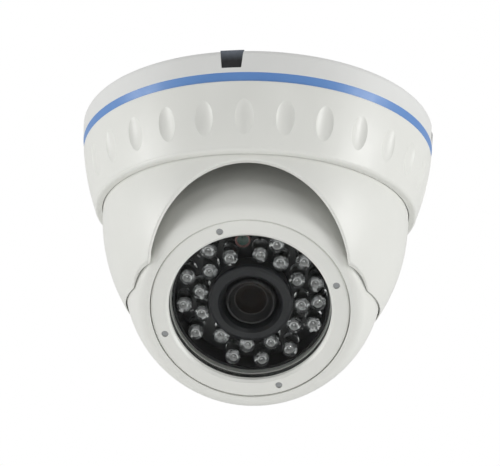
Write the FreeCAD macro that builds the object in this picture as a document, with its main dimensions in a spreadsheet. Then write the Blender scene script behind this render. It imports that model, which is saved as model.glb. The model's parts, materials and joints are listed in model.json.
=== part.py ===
# Turret-style dome security camera: a ceiling base with a twist-lock cover, a turret that
# pans, a yoke that tilts, and a ball with the lens and infrared lamps that rolls.
# Millimetres, +Z up.  The origin is the centre of the ceiling mounting face, so the camera
# hangs towards -Z, and its turret looks towards -Y.
import FreeCAD, Part
import math
import os
import Sketcher

# Driving dimensions: alias -> value.  Radii, heights and wall thicknesses are in mm, and
# angles in degrees.  Heights (names with _z) are measured from the mounting face, and
# depths along the lens axis (names with _w) from the centre of the ball.
DIMENSIONS = {
    # base
    "base_radius": 52.2, "base_edge_round": 1.8, "base_taper": 0.25, "base_wall": 2.2,
    "base_foot_width": 1.9, "base_low_z": -7.0, "plate_top_z": -1.2, "plate_low_z": -3.4,
    "skirt_radius": 45.8, "skirt_wall": 2.2, "skirt_low_z": -23.3, "base_turn": -5.45,
    "hub_radius": 9.5, "cable_hole_radius": 6.0, "rib_width": 1.6, "rib_count": 6,
    "screw_circle": 70.0, "screw_hole_radius": 2.25, "screw_boss_radius": 5.5,
    "screw_count": 3,
    "notch_wide": 6.6, "notch_narrow": 5.4, "notch_depth": 5.6, "notch_inner_radius": 46.6,
    "notch_count": 4, "plug_recess": 0.7,
    # bayonet between base and cover
    "bayonet_count": 4, "lug_angle": 28.0, "base_lug_radius": 49.1, "base_lug_top_z": -13.0,
    "cover_lug_radius": 46.4, "lug_height": 2.0, "lug_gap": 0.1,
    # coloured trim ring
    "trim_inner_radius": 49.6, "trim_top_radius": 51.9, "trim_low_radius": 51.1,
    "trim_height": 2.25,
    # cover
    "cover_top_z": -9.35, "cover_top_radius": 51.65, "cover_edge_round": 0.4,
    "cover_bulge_radius": 75.0, "cover_foot_radius": 47.35, "cover_foot_z": -27.2,
    "cover_foot_round": 1.0, "cover_bore_radius": 49.4, "cover_bore_z": -15.4,
    "cover_neck_radius": 46.5, "cover_neck_z": -24.9, "cover_ledge_z": -26.5,
    "cover_mouth_radius": 45.05,
    "dimple_count": 28, "dimple_z": -19.7, "dimple_outset": 1.4, "dimple_depth_axis": 2.0,
    "dimple_wide_axis": 3.56, "dimple_tall_axis": 7.3, "dimple_lean": 14.0,
    "dimple_turn": -1.25,
    "dimple_surface_radius": 49.72,
    "slip_thickness": 0.6, "friction_thickness": 0.9,
    # turret
    "turret_radius": 44.8, "flange_radius": 46.2, "flange_top_z": -24.3,
    "flange_low_z": -25.8, "turret_belt_z": -29.0, "turret_bulge_radius": 52.0,
    "turret_low_z": -56.8, "turret_bore_radius": 42.9,
    "turret_bore_z": -31.0, "pocket_radius": 39.2, "pocket_z": -50.4,
    "pocket_bulge_radius": 47.2, "ball_gap": 0.4,
    "slot_radius": 27.9, "slot_centre_z": -57.8, "slot_corner_round": 5.0,
    "slot_edge_round": 0.5,
    # tilting yoke and its pivots
    "yoke_inner": 37.8, "yoke_outer": 38.8, "yoke_width": 6.0, "yoke_lug_radius": 3.4,
    "yoke_hub_radius": 7.5, "pin_radius": 1.2, "pin_inner_x": 37.9, "pin_outer_x": 40.9,
    "pin_clearance": 0.05, "boss_radius": 2.8, "boss_face_x": 39.1, "boss_length": 1.3,
    "pivot_washer_radius": 2.5,
    # ball
    "ball_z": -46.65, "ball_radius": 37.5, "ball_wall": 1.8, "lens_tilt": 42.5,
    "split_w": -6.0, "split_gap": 0.15, "rim_radius": 29.2, "rim_w": 21.3, "rim_round": 3.6,
    "rim_sphere_radius": 32.1,
    "groove_radius": 28.1, "seat_w": 18.6, "flange_w": 15.4, "window_bore": 22.4,
    "gasket_w": 17.2, "glass_w": 17.8, "glass_thickness": 1.2, "glass_radius": 24.2,
    "bezel_radius": 27.92, "bezel_w": 21.0, "bezel_edge_round": 0.5, "bezel_opening": 22.9,
    "bezel_bevel": 0.7, "bezel_screw_circle": 25.4, "bezel_screw_head": 0.95,
    "bezel_screw_shank": 0.6, "bezel_screw_recess": 0.35, "bezel_screw_phase": 18.2,
    "bezel_screw_count": 4,
    # infrared lamp board
    "board_w": 8.8, "board_thickness": 1.6, "board_radius": 21.6, "board_hole": 9.2,
    "led_radius": 2.35, "led_rim_radius": 2.38, "led_rim": 1.0, "led_length": 8.6,
    "outer_led_circle": 19.2, "inner_led_circle": 14.45,
    "sensor_circle": 17.6, "sensor_phase": 97.1, "sensor_radius": 2.3, "sensor_height": 3.7,
    "baffle_outer": 22.2, "baffle_wall": 0.5, "baffle_flange": 27.4, "baffle_low_w": 6.0,
    "baffle_high_w": 15.3,
    "post_circle": 25.2, "post_radius": 2.1, "post_count": 3, "post_phase": 185.0,
    # lens
    "hood_base_radius": 10.6, "hood_radius": 12.0, "hood_bore": 8.25, "hood_w": 17.6,
    "hood_throat": 7.4,
    "barrel_radius": 6.0, "barrel_low_w": -1.5, "head_radius": 7.0, "head_low_w": 9.4,
    "head_w": 16.4, "head_mouth": 6.3, "element_radius": 4.5, "element_w": 13.2,
    "element_bulge_radius": 9.0, "element_edge": 1.4, "stop_radius": 3.0,
    "rear_element_radius": 3.6,
    "rear_element_w": 0.6, "holder_low_w": -4.9, "holder_size": 17.0, "holder_flange": 2.4,
    "holder_radius": 7.6, "holder_w": 6.0, "holder_cavity": 11.6,
    # sensor board and its fixings
    "circuit_w": -4.9, "circuit_size": 38.0, "circuit_thickness": 1.6, "chip_size": 8.4,
    "chip_height": 1.3, "filter_size": 7.6, "filter_thickness": 0.5,
    "standoff_pitch": 32.0, "standoff_radius": 2.0, "screw_radius": 1.0, "head_r_small": 1.9,
    "head_height": 1.2, "connector_length": 9.0, "connector_width": 4.4,
    "connector_height": 4.2, "connector_spacing": 20.0,
    # pins between the ball's two shells, and rear swivel
    "shell_pin_circle": 30.6, "shell_post_radius": 2.4, "shell_pin_radius": 1.0,
    "shell_pin_count": 3, "shell_pin_phase": 20.0, "shell_pin_reach": 9.0,
    "stud_radius": 4.0, "stud_bore": 2.6, "stud_flange": 7.2, "stud_flange_height": 1.5,
    "stud_end_w": -41.4, "swivel_gap": 0.1, "washer_thickness": 0.4, "nut_width": 11.0,
    "nut_height": 1.9,
}

# Places of the infrared lamps round the lens, in degrees counter-clockwise seen from the front.
LED_ANGLES = {
    "outer": (126.8, 158.1, 185.3, 213.2, 253.2, 278.2, 305.1, 336.4, 358.0, 16.6, 39.5, 66.9),
    "inner": (113.1, 142.0, 169.7, 197.1, 233.5, 264.8, 293.1, 327.5, 354.0, 25.8, 54.1, 79.9),
}
for ring, angles in LED_ANGLES.items():
    for place, angle in enumerate(angles, start=1):
        DIMENSIONS["%s_led_angle_%d" % (ring, place)] = angle

doc = FreeCAD.newDocument("dome_camera")
sheet = doc.addObject("Spreadsheet::Sheet", "Sheet")
for row, (alias, value) in enumerate(DIMENSIONS.items(), start=1):
    sheet.set("A%d" % row, alias)
    sheet.set("B%d" % row, str(value))
    sheet.setAlias("B%d" % row, alias)
doc.recompute()

SUB_PARTS = []


def bound(text):
    """An expression whose words are aliases, as FreeCAD wants it: with Sheet. in front."""
    words = []
    word = ""
    for letter in str(text) + " ":
        if letter.isalnum() or letter == "_":
            word += letter
            continue
        words.append("Sheet." + word if word in DIMENSIONS else word)
        words.append(letter)
        word = ""
    return "".join(words).strip()


def size(text):
    """The present value of such an expression."""
    return float(sheet.evalExpression(bound(text).replace("Sheet.", "")))


def sub_part(label, obj):
    obj.Label = label
    SUB_PARTS.append(obj)
    return obj


def new_body(label):
    return sub_part(label, doc.addObject("PartDesign::Body", label))


def origin_object(body, role):
    return [item for item in body.Origin.OriginFeatures if item.Role == role][0]


def new_sketch(body, name, plane="XZ_Plane", lift=None, turn=None):
    """A sketch on one of the body's own planes.  lift moves it along the plane's normal,
    and turn swings an upright sketch about the Z axis."""
    sketch = body.newObject("Sketcher::SketchObject", name)
    sketch.AttachmentSupport = [(origin_object(body, plane), "")]
    sketch.MapMode = "FlatFace"
    if turn is not None:
        sketch.AttachmentOffset = FreeCAD.Placement(
            FreeCAD.Vector(), FreeCAD.Rotation(FreeCAD.Vector(0, 1, 0), size(turn)))
        sketch.setExpression("AttachmentOffset.Rotation.Angle", bound(turn))
    if lift is not None:
        sketch.setExpression("AttachmentOffset.Base.z", bound(lift))
    return sketch


def tie(sketch, kind, parts, text):
    """A dimension of the sketch, driven by an expression."""
    index = sketch.addConstraint(Sketcher.Constraint(kind, *parts, size(text)))
    sketch.setExpression("Constraints[%d]" % index, bound(text))


def add_arc(sketch, start, end, radius):
    """An arc from start to end.  A positive radius turns left, a negative one right."""
    chord = end - start
    middle = (start + end) / 2
    reach = math.sqrt(max(radius * radius - chord.Length ** 2 / 4, 0))
    left = FreeCAD.Vector(-chord.y, chord.x, 0).normalize()
    side = 1 if radius > 0 else -1
    centre = middle + left * reach * side
    first, last = (start, end) if radius > 0 else (end, start)
    angles = [math.atan2(point.y - centre.y, point.x - centre.x) for point in (first, last)]
    circle = Part.Circle(centre, FreeCAD.Vector(0, 0, 1), abs(radius))
    return sketch.addGeometry(Part.ArcOfCircle(circle, angles[0], angles[1]))


def outline(sketch, steps):
    """A closed outline.  Each step is (x, y) or (x, y, radius): the edge that leaves the
    point is a straight line, or an arc of that radius ("-" in front turns right)."""
    points = [FreeCAD.Vector(size(step[0]), size(step[1]), 0) for step in steps]
    ends = []
    for index, step in enumerate(steps):
        start, end = points[index], points[(index + 1) % len(steps)]
        if len(step) == 2:
            edge = sketch.addGeometry(Part.LineSegment(start, end))
            ends.append((edge, 1, 2))
            continue
        right = step[2].startswith("-")
        radius = size(step[2].lstrip("-"))
        edge = add_arc(sketch, start, end, -radius if right else radius)
        ends.append((edge, 2, 1) if right else (edge, 1, 2))
    for index, (edge, first, last) in enumerate(ends):
        following = ends[(index + 1) % len(ends)]
        joint = (edge, last, following[0], following[1])
        sketch.addConstraint(Sketcher.Constraint("Coincident", *joint))
    for (edge, first, last), step in zip(ends, steps):
        tie(sketch, "DistanceX", (-1, 1, edge, first), step[0])
        tie(sketch, "DistanceY", (-1, 1, edge, first), step[1])
        if len(step) == 3:
            tie(sketch, "Radius", (edge,), step[2].lstrip("-"))


def circle_at(sketch, radius, x="0", y="0"):
    centre = FreeCAD.Vector(size(x), size(y), 0)
    circle = Part.Circle(centre, FreeCAD.Vector(0, 0, 1), size(radius))
    edge = sketch.addGeometry(circle)
    tie(sketch, "Radius", (edge,), radius)
    tie(sketch, "DistanceX", (-1, 1, edge, 3), x)
    tie(sketch, "DistanceY", (-1, 1, edge, 3), y)


def rectangle_at(sketch, width, height, x="0", y="0"):
    outline(sketch, [
        ("%s - (%s) / 2" % (x, width), "%s - (%s) / 2" % (y, height)),
        ("%s + (%s) / 2" % (x, width), "%s - (%s) / 2" % (y, height)),
        ("%s + (%s) / 2" % (x, width), "%s + (%s) / 2" % (y, height)),
        ("%s - (%s) / 2" % (x, width), "%s + (%s) / 2" % (y, height)),
    ])


def revolve(body, name, steps, turn=None, offset=None, sweep="360"):
    """A turned feature: the outline in the XZ plane swept about Z, or about an upright
    line at x = offset."""
    sketch = new_sketch(body, name + "_profile", turn=turn)
    outline(sketch, steps)
    axis = "V_Axis"
    if offset is not None:
        spread = 10.0
        line = sketch.addGeometry(Part.LineSegment(
            FreeCAD.Vector(size(offset), -spread, 0), FreeCAD.Vector(size(offset), spread, 0)))
        sketch.toggleConstruction(line)
        sketch.addConstraint(Sketcher.Constraint("Vertical", line))
        tie(sketch, "DistanceX", (-1, 1, line, 1), offset)
        axis = "Axis0"
    feature = body.newObject("PartDesign::Revolution", name)
    feature.Profile = sketch
    feature.ReferenceAxis = (sketch, [axis])
    feature.setExpression("Angle", bound(sweep))
    feature.Midplane = sweep != "360"
    doc.recompute()
    return feature


def pad(body, name, sketch, length, both_ways=False):
    feature = body.newObject("PartDesign::Pad", name)
    feature.Profile = sketch
    feature.setExpression("Length", bound(length))
    feature.Midplane = both_ways
    doc.recompute()
    return feature


def pocket(body, name, sketch, length, reverse=False):
    """A cut that must take material away."""
    before = body.Shape.Volume
    feature = body.newObject("PartDesign::Pocket", name)
    feature.Profile = sketch
    feature.setExpression("Length", bound(length))
    feature.Reversed = reverse
    doc.recompute()
    if feature.Shape.Volume >= before - 1e-6:
        raise RuntimeError("%s cuts nothing" % name)
    return feature


def around(body, name, features, count, axis="Z_Axis"):
    pattern = body.newObject("PartDesign::PolarPattern", name)
    pattern.Originals = features
    pattern.Axis = (origin_object(body, axis), [""])
    pattern.Angle = 360
    pattern.setExpression("Occurrences", bound(count))
    body.Tip = pattern
    doc.recompute()
    return pattern


def turned(label, steps, **options):
    body = new_body(label)
    revolve(body, label + "_turning", steps, **options)
    return body


def plate(label, draw, low, high):
    """A flat piece: what draw() puts in its sketch, from height low to height high."""
    body = new_body(label)
    sketch = new_sketch(body, label + "_outline", "XY_Plane", lift=low)
    draw(sketch)
    pad(body, label + "_pad", sketch, "(%s) - (%s)" % (high, low))
    return body


def ring_steps(inner, outer, low, high):
    return [(inner, low), (outer, low), (outer, high), (inner, high)]


def in_ball(obj):
    """Places a piece drawn about the lens axis: its +Z becomes the way the lens looks."""
    angle = size("180 - lens_tilt")
    obj.Placement = FreeCAD.Placement(
        FreeCAD.Vector(0, 0, size("ball_z")), FreeCAD.Rotation(FreeCAD.Vector(1, 0, 0), angle))
    obj.setExpression("Placement.Base.z", bound("ball_z"))
    obj.setExpression("Placement.Rotation.Angle", bound("180 - lens_tilt"))
    return obj


def turn_base(obj):
    """The base is screwed up a few degrees off the way the turret looks."""
    obj.Placement = FreeCAD.Placement(
        FreeCAD.Vector(), FreeCAD.Rotation(FreeCAD.Vector(0, 0, 1), size("base_turn")))
    obj.setExpression("Placement.Rotation.Angle", bound("base_turn"))
    return obj


# ---------------------------------------------------------------- base


def notch_sketch(body, name, lift, shrink="0"):
    """A cable notch as seen from outside: wide at the ceiling, narrower below."""
    sketch = new_sketch(body, name, lift=lift)
    top = "0 - (%s)" % shrink
    low = "0 - notch_depth + (%s)" % shrink
    wide = "(notch_wide / 2 - (%s))" % shrink
    narrow = "(notch_narrow / 2 - (%s))" % shrink
    outline(sketch, [("0 - " + wide, top), ("0 - " + narrow, low), (narrow, low), (wide, top)])
    return sketch


def make_base():
    body = new_body("base_plate")
    foot_inner = "base_radius - base_edge_round - base_foot_width"
    revolve(body, "base_casting", [
        (foot_inner, "0"),
        ("base_radius - base_edge_round", "0", "-base_edge_round"),
        ("base_radius", "0 - base_edge_round"),
        ("base_radius - base_taper", "base_low_z"),
        ("base_radius - base_wall - base_taper", "base_low_z"),
        ("base_radius - base_wall - base_taper", "plate_low_z"),
        ("skirt_radius", "plate_low_z"),
        ("skirt_radius", "skirt_low_z"),
        ("skirt_radius - skirt_wall", "skirt_low_z"),
        ("skirt_radius - skirt_wall", "plate_low_z"),
        ("cable_hole_radius", "plate_low_z"),
        ("cable_hole_radius", "0"),
        ("hub_radius", "0"),
        ("hub_radius", "plate_top_z"),
        (foot_inner, "plate_top_z"),
    ])
    rib = new_sketch(body, "rib_outline", "XY_Plane", lift="plate_top_z")
    rib_start = "(hub_radius - 1)"
    rib_end = "(base_radius - base_edge_round - 1)"
    rectangle_at(rib, "%s - %s" % (rib_end, rib_start), "rib_width",
                 "(%s + %s) / 2" % (rib_start, rib_end))
    rib_pad = pad(body, "rib", rib, "0 - plate_top_z")
    around(body, "ribs", [rib_pad], "rib_count")
    boss = new_sketch(body, "boss_outline", "XY_Plane", lift="plate_top_z")
    circle_at(boss, "screw_boss_radius", "0", "screw_circle / 2")
    boss_pad = pad(body, "screw_boss", boss, "0 - plate_top_z")
    around(body, "screw_bosses", [boss_pad], "screw_count")
    hole = new_sketch(body, "hole_outline", "XY_Plane")
    circle_at(hole, "screw_hole_radius", "0", "screw_circle / 2")
    hole_cut = pocket(body, "screw_hole", hole, "0 - plate_low_z")
    around(body, "screw_holes", [hole_cut], "screw_count")
    notch = notch_sketch(body, "notch_outline", "base_radius + 1")
    notch_cut = pocket(body, "cable_notch", notch, "base_radius + 1 - notch_inner_radius")
    around(body, "cable_notches", [notch_cut], "notch_count")
    lug = revolve(body, "base_lug", ring_steps(
        "skirt_radius - 1", "base_lug_radius", "base_lug_top_z - lug_height",
        "base_lug_top_z"), turn="45", sweep="lug_angle")
    around(body, "base_lugs", [lug], "bayonet_count")
    turn_base(body)


def make_base_trim():
    plugs = new_body("notch_plugs")
    sketch = notch_sketch(plugs, "plug_outline", "base_radius - plug_recess", "0.02")
    face = plugs.newObject("PartDesign::Pad", "plug")
    face.Profile = sketch
    face.setExpression("Length", bound("base_radius - plug_recess - notch_inner_radius - 0.1"))
    face.Reversed = True
    doc.recompute()
    around(plugs, "plugs", [face], "notch_count")
    turn_base(plugs)
    turned("cable_grommet", [
        ("cable_hole_radius / 2", "0 - 0.2"),
        ("cable_hole_radius - 0.05", "0 - 0.2"),
        ("cable_hole_radius - 0.05", "plate_low_z - 0.02"),
        ("cable_hole_radius + 1.6", "plate_low_z - 0.02"),
        ("cable_hole_radius + 0.9", "plate_low_z - 1.1"),
        ("cable_hole_radius / 2", "plate_low_z - 1.1"),
    ])
    turned("trim_ring", [
        ("trim_inner_radius", "base_low_z"),
        ("trim_inner_radius", "base_low_z - trim_height"),
        ("trim_low_radius", "base_low_z - trim_height"),
        ("trim_top_radius", "base_low_z"),
    ])
    turned("pan_friction_ring", ring_steps(
        "skirt_radius - skirt_wall + 0.2", "skirt_radius - 0.2",
        "skirt_low_z - friction_thickness", "skirt_low_z"))


# ---------------------------------------------------------------- cover


def make_cover():
    body = new_body("cover_ring")
    revolve(body, "cover_casting", [
        ("cover_bore_radius", "cover_top_z"),
        ("cover_top_radius - cover_edge_round", "cover_top_z", "-cover_edge_round"),
        ("cover_top_radius", "cover_top_z - cover_edge_round", "-cover_bulge_radius"),
        ("cover_foot_radius", "cover_foot_z", "-cover_foot_round"),
        ("cover_foot_radius - cover_foot_round", "cover_foot_z - cover_foot_round"),
        ("cover_mouth_radius", "cover_foot_z - cover_foot_round"),
        ("cover_mouth_radius", "cover_ledge_z"),
        ("cover_neck_radius", "cover_ledge_z"),
        ("cover_neck_radius", "cover_neck_z"),
        ("cover_bore_radius", "cover_bore_z"),
    ])
    lug = revolve(body, "cover_lug", ring_steps(
        "cover_lug_radius", "cover_bore_radius + 0.5", "base_lug_top_z + lug_gap",
        "base_lug_top_z + lug_gap + lug_height"), turn="45 + base_turn", sweep="lug_angle")
    around(body, "cover_lugs", [lug], "bayonet_count")
    before = body.Shape.Volume
    dimple = body.newObject("PartDesign::SubtractiveEllipsoid", "grip_dimple")
    dimple.setExpression("Radius1", bound("dimple_depth_axis"))
    dimple.setExpression("Radius2", bound("dimple_wide_axis"))
    dimple.setExpression("Radius3", bound("dimple_tall_axis"))
    lean = FreeCAD.Rotation(FreeCAD.Vector(1, 0, 0), size("90 + dimple_lean"))
    centre = FreeCAD.Vector(0, -size("dimple_surface_radius + dimple_outset"), size("dimple_z"))
    swing = FreeCAD.Rotation(FreeCAD.Vector(0, 0, 1), size("dimple_turn"))
    dimple.Placement = FreeCAD.Placement(swing.multVec(centre), swing.multiply(lean))
    doc.recompute()
    around(body, "grip_dimples", [dimple], "dimple_count")
    if body.Shape.Volume >= before:
        raise RuntimeError("the dimples cut nothing")
    turned("slip_ring", ring_steps(
        "cover_mouth_radius + 0.2", "cover_neck_radius - 0.2", "cover_ledge_z",
        "cover_ledge_z + slip_thickness"))


# ---------------------------------------------------------------- turret


def slot_edges(body):
    """The sharp edges where the front slot breaks through the turret's outer skin."""
    found = []
    for number, edge in enumerate(body.Shape.Edges, start=1):
        span = edge.LastParameter - edge.FirstParameter
        on_skin = edge.Curve.TypeId == "Part::GeomBSplineCurve"
        for share in (0, 0.5, 1):
            point = edge.valueAt(edge.FirstParameter + span * share)
            drop = size("turret_belt_z") - point.z
            bulge = math.sqrt(max(size("turret_bulge_radius") ** 2 - drop ** 2, 0))
            skin = size("turret_radius - turret_bulge_radius") + bulge
            on_skin = on_skin and abs(math.hypot(point.x, point.y) - skin) < 0.02
        if on_skin:
            found.append("Edge%d" % number)
    return found


def make_turret():
    body = new_body("turret_shell")
    drop = "(turret_belt_z - turret_low_z)"
    lip_radius = ("turret_radius - turret_bulge_radius"
                  " + sqrt(turret_bulge_radius ^ 2 - %s ^ 2)" % drop)
    bore = "(ball_radius + ball_gap)"
    bore_low = "sqrt(%s ^ 2 - (ball_z - turret_low_z) ^ 2)" % bore
    bore_high = "sqrt(%s ^ 2 - (ball_z - pocket_z + 0.6) ^ 2)" % bore
    revolve(body, "turret_casting", [
        ("flange_radius", "flange_top_z"),
        ("flange_radius", "flange_low_z"),
        ("turret_radius", "flange_low_z"),
        ("turret_radius", "turret_belt_z", "-turret_bulge_radius"),
        (lip_radius, "turret_low_z"),
        (bore_low, "turret_low_z", "ball_radius + ball_gap"),
        (bore_high, "pocket_z - 0.6"),
        ("pocket_radius", "pocket_z", "pocket_bulge_radius"),
        ("turret_bore_radius", "turret_bore_z"),
        ("turret_bore_radius", "flange_top_z"),
    ])
    reach = "(slot_radius + slot_corner_round)"
    corner_z = "(turret_low_z + slot_corner_round)"
    corner_x = "sqrt(%s ^ 2 - (%s - slot_centre_z) ^ 2)" % (reach, corner_z)
    touch_x = "(%s * slot_radius / %s)" % (corner_x, reach)
    touch_z = "slot_centre_z + (%s - slot_centre_z) * slot_radius / %s" % (corner_z, reach)
    slot = new_sketch(body, "slot_outline")
    outline(slot, [
        ("0 - " + corner_x, "turret_low_z", "-slot_corner_round"),
        ("0 - " + touch_x, touch_z, "-slot_radius"),
        (touch_x, touch_z, "-slot_corner_round"),
        (corner_x, "turret_low_z"),
        (corner_x, "turret_low_z - 5"),
        ("0 - " + corner_x, "turret_low_z - 5"),
    ])
    opening = pocket(body, "lens_slot", slot, "base_radius", reverse=True)
    edges = slot_edges(body)
    rounding = body.newObject("PartDesign::Fillet", "slot_edge")
    rounding.Base = (opening, edges)
    rounding.setExpression("Radius", bound("slot_edge_round"))
    doc.recompute()
    boss = new_sketch(body, "pivot_boss_outline", "YZ_Plane", lift="boss_face_x")
    circle_at(boss, "boss_radius", "0", "ball_z")
    boss_pad = pad(body, "pivot_boss", boss, "boss_length")
    around(body, "pivot_bosses", [boss_pad], "2")
    hole = new_sketch(body, "pivot_hole_outline", "YZ_Plane", lift="pin_outer_x")
    circle_at(hole, "pin_radius", "0", "ball_z")
    hole_cut = pocket(body, "pivot_hole", hole, "pin_outer_x - pin_inner_x")
    around(body, "pivot_holes", [hole_cut], "2")


def make_pivots():
    pins = new_body("pivot_pins")
    sketch = new_sketch(pins, "pin_outline", "YZ_Plane", lift="pin_inner_x")
    circle_at(sketch, "pin_radius", "0", "ball_z")
    pin = pad(pins, "pin", sketch, "pin_outer_x - pin_inner_x")
    around(pins, "pins", [pin], "2")
    washers = new_body("pivot_washers")
    sketch = new_sketch(washers, "washer_outline", "YZ_Plane", lift="yoke_outer + 0.06")
    circle_at(sketch, "pivot_washer_radius", "0", "ball_z")
    circle_at(sketch, "pin_radius + 0.02", "0", "ball_z")
    washer = pad(washers, "washer", sketch, "boss_face_x - yoke_outer - 0.06")
    around(washers, "washers", [washer], "2")


# ---------------------------------------------------------------- yoke


def sphere(name, radius):
    ball = doc.addObject("Part::Sphere", name)
    ball.setExpression("Radius", bound(radius))
    return ball


def cylinder(name, radius, height, base=(0, 0, 0), along=(0, 0, 1)):
    rod = doc.addObject("Part::Cylinder", name)
    rod.setExpression("Radius", bound(radius))
    rod.setExpression("Height", bound(height))
    turn = FreeCAD.Rotation(FreeCAD.Vector(0, 0, 1), FreeCAD.Vector(*along))
    rod.Placement = FreeCAD.Placement(FreeCAD.Vector(*base), turn)
    return rod


def make_yoke():
    """A strap bent round the back of the ball, from pivot to pivot, with a hub behind."""
    strap = doc.addObject("Part::Box", "strap_block")
    strap.setExpression("Length", bound("2 * yoke_outer"))
    strap.setExpression("Width", bound("yoke_width"))
    strap.setExpression("Height", bound("yoke_outer"))
    strap.setExpression("Placement.Base.x", bound("0 - yoke_outer"))
    strap.setExpression("Placement.Base.y", bound("0 - yoke_width / 2"))
    strap.setExpression("Placement.Base.z", bound("0 - yoke_outer"))
    far = size("yoke_outer")
    lugs = cylinder("yoke_lugs", "yoke_lug_radius", "2 * yoke_outer", (-far, 0, 0), (1, 0, 0))
    hub = cylinder("yoke_hub", "yoke_hub_radius", "yoke_outer", (0, 0, 0), (0, 0, -1))
    blank = doc.addObject("Part::MultiFuse", "yoke_blank")
    blank.Shapes = [strap, lugs, hub]
    trimmed = doc.addObject("Part::MultiCommon", "yoke_trimmed")
    trimmed.Shapes = [blank, sphere("yoke_skin", "yoke_outer")]
    bore = cylinder("pivot_bore", "pin_radius + pin_clearance", "2 * yoke_outer",
                    (-far, 0, 0), (1, 0, 0))
    eye = cylinder("swivel_eye", "stud_radius + pin_clearance", "yoke_outer",
                   (0, 0, 0), (0, 0, -1))
    removed = doc.addObject("Part::MultiFuse", "yoke_removed")
    removed.Shapes = [sphere("yoke_hollow", "yoke_inner"), bore, eye]
    yoke = doc.addObject("Part::Cut", "tilt_yoke")
    yoke.Base = trimmed
    yoke.Tool = removed
    doc.recompute()
    in_ball(sub_part("tilt_yoke", yoke))


# ---------------------------------------------------------------- ball casing


def on_sphere(radius, w):
    return "sqrt((%s) ^ 2 - (%s) ^ 2)" % (radius, w)


def bosses(body, name, circle, radius, low, high, count, phase, bore=None):
    """Posts round the lens axis, each with a screw hole when bore is given."""
    steps = ring_steps(circle, "%s + %s" % (circle, radius), low, high)
    if bore is not None:
        steps = ring_steps("%s + %s" % (circle, bore), "%s + %s" % (circle, radius), low, high)
    post = revolve(body, name, steps, turn=phase, offset=circle)
    return around(body, name + "s", [post], count)


def make_front_shell():
    body = new_body("ball_front_shell")
    inside = "(ball_radius - ball_wall)"
    revolve(body, "front_casting", [
        (on_sphere("ball_radius", "split_w"), "split_w", "ball_radius"),
        ("rim_sphere_radius", on_sphere("ball_radius", "rim_sphere_radius"), "rim_round"),
        ("rim_radius", "rim_w"),
        ("groove_radius", "rim_w"),
        ("groove_radius", "seat_w"),
        ("glass_radius + 0.2", "seat_w"),
        ("glass_radius + 0.2", "gasket_w"),
        ("window_bore", "gasket_w"),
        ("window_bore", "flange_w"),
        (on_sphere(inside, "flange_w"), "flange_w", "-" + inside),
        (on_sphere(inside, "split_w"), "split_w"),
    ])
    bosses(body, "board_post", "post_circle", "post_radius", "board_w - board_thickness",
           "flange_w + 0.5", "post_count", "post_phase")
    bosses(body, "shell_post", "shell_pin_circle", "shell_post_radius", "split_w",
           "flange_w + 0.5", "shell_pin_count", "shell_pin_phase", "shell_pin_radius + 0.02")
    for name, circle, radius, high, low, phase, count in (
            ("bezel_tapping", "bezel_screw_circle", "bezel_screw_shank", "seat_w",
             "flange_w", "bezel_screw_phase", "bezel_screw_count"),
            ("board_tapping", "post_circle", "screw_radius", "flange_w - 1",
             "board_w - board_thickness", "post_phase", "post_count")):
        sketch = new_sketch(body, name + "_outline", "XY_Plane", lift=high)
        x = "(%s) * cos(%s)" % (circle, phase)
        y = "(%s) * sin(%s)" % (circle, phase)
        circle_at(sketch, radius, x, y)
        cut = pocket(body, name, sketch, "%s - (%s)" % (high, low))
        around(body, name + "s", [cut], count)
    in_ball(body)


def make_rear_shell():
    body = new_body("ball_rear_shell")
    inside = "(ball_radius - ball_wall)"
    low = "(split_w - split_gap)"
    eye = "(stud_radius + 0.02)"
    revolve(body, "rear_casting", [
        (eye, "0 - " + on_sphere("ball_radius", eye), "ball_radius"),
        (on_sphere("ball_radius", low), low),
        (on_sphere(inside, low), low, "-" + inside),
        (eye, "0 - " + on_sphere(inside, eye)),
    ])
    bosses(body, "rear_post", "shell_pin_circle", "shell_post_radius", "split_w - 12",
           low, "shell_pin_count", "shell_pin_phase", "shell_pin_radius")
    in_ball(body)
    in_ball(turned("ball_seal", ring_steps(
        on_sphere(inside, "split_w - 1") + " - 1.4", on_sphere(inside, "split_w - 1") + " - 0.1",
        "split_w - 1", "split_w + 1")))


def make_shell_pins():
    body = new_body("shell_pins")
    pin = revolve(body, "shell_pin", [
        ("shell_pin_circle", "split_w - shell_pin_reach"),
        ("shell_pin_circle + shell_pin_radius - 0.01", "split_w - shell_pin_reach"),
        ("shell_pin_circle + shell_pin_radius - 0.01", "split_w + shell_pin_reach"),
        ("shell_pin_circle", "split_w + shell_pin_reach"),
    ], turn="shell_pin_phase", offset="shell_pin_circle")
    around(body, "shell_pin_ring", [pin], "shell_pin_count")
    in_ball(body)


def make_swivel():
    flange_low = "0 - (ball_radius - ball_wall)"
    in_ball(turned("swivel_stud", [
        ("stud_bore", "stud_end_w"),
        ("stud_radius", "stud_end_w"),
        ("stud_radius", flange_low + " + 0.8"),
        ("stud_flange", flange_low + " + 0.8"),
        ("stud_flange", flange_low + " + 0.8 + stud_flange_height"),
        ("stud_bore", flange_low + " + 0.8 + stud_flange_height"),
    ]))
    hub = "(0 - yoke_outer - swivel_gap)"
    in_ball(turned("swivel_washer", ring_steps(
        "stud_radius + 0.05", "yoke_hub_radius - 0.8", hub + " - washer_thickness", hub)))
    nut_top = hub + " - washer_thickness - 0.05"
    body = new_body("swivel_nut")
    sketch = new_sketch(body, "nut_outline", "XY_Plane", lift=nut_top + " - nut_height")
    corners = []
    for corner in range(6):
        across = "nut_width / sqrt(3)"
        corners.append(("%s * cos(%d)" % (across, 60 * corner),
                        "%s * sin(%d)" % (across, 60 * corner)))
    outline(sketch, corners)
    circle_at(sketch, "stud_radius + 0.02")
    pad(body, "nut_pad", sketch, "nut_height")
    in_ball(body)


# ---------------------------------------------------------------- ball front


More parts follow.
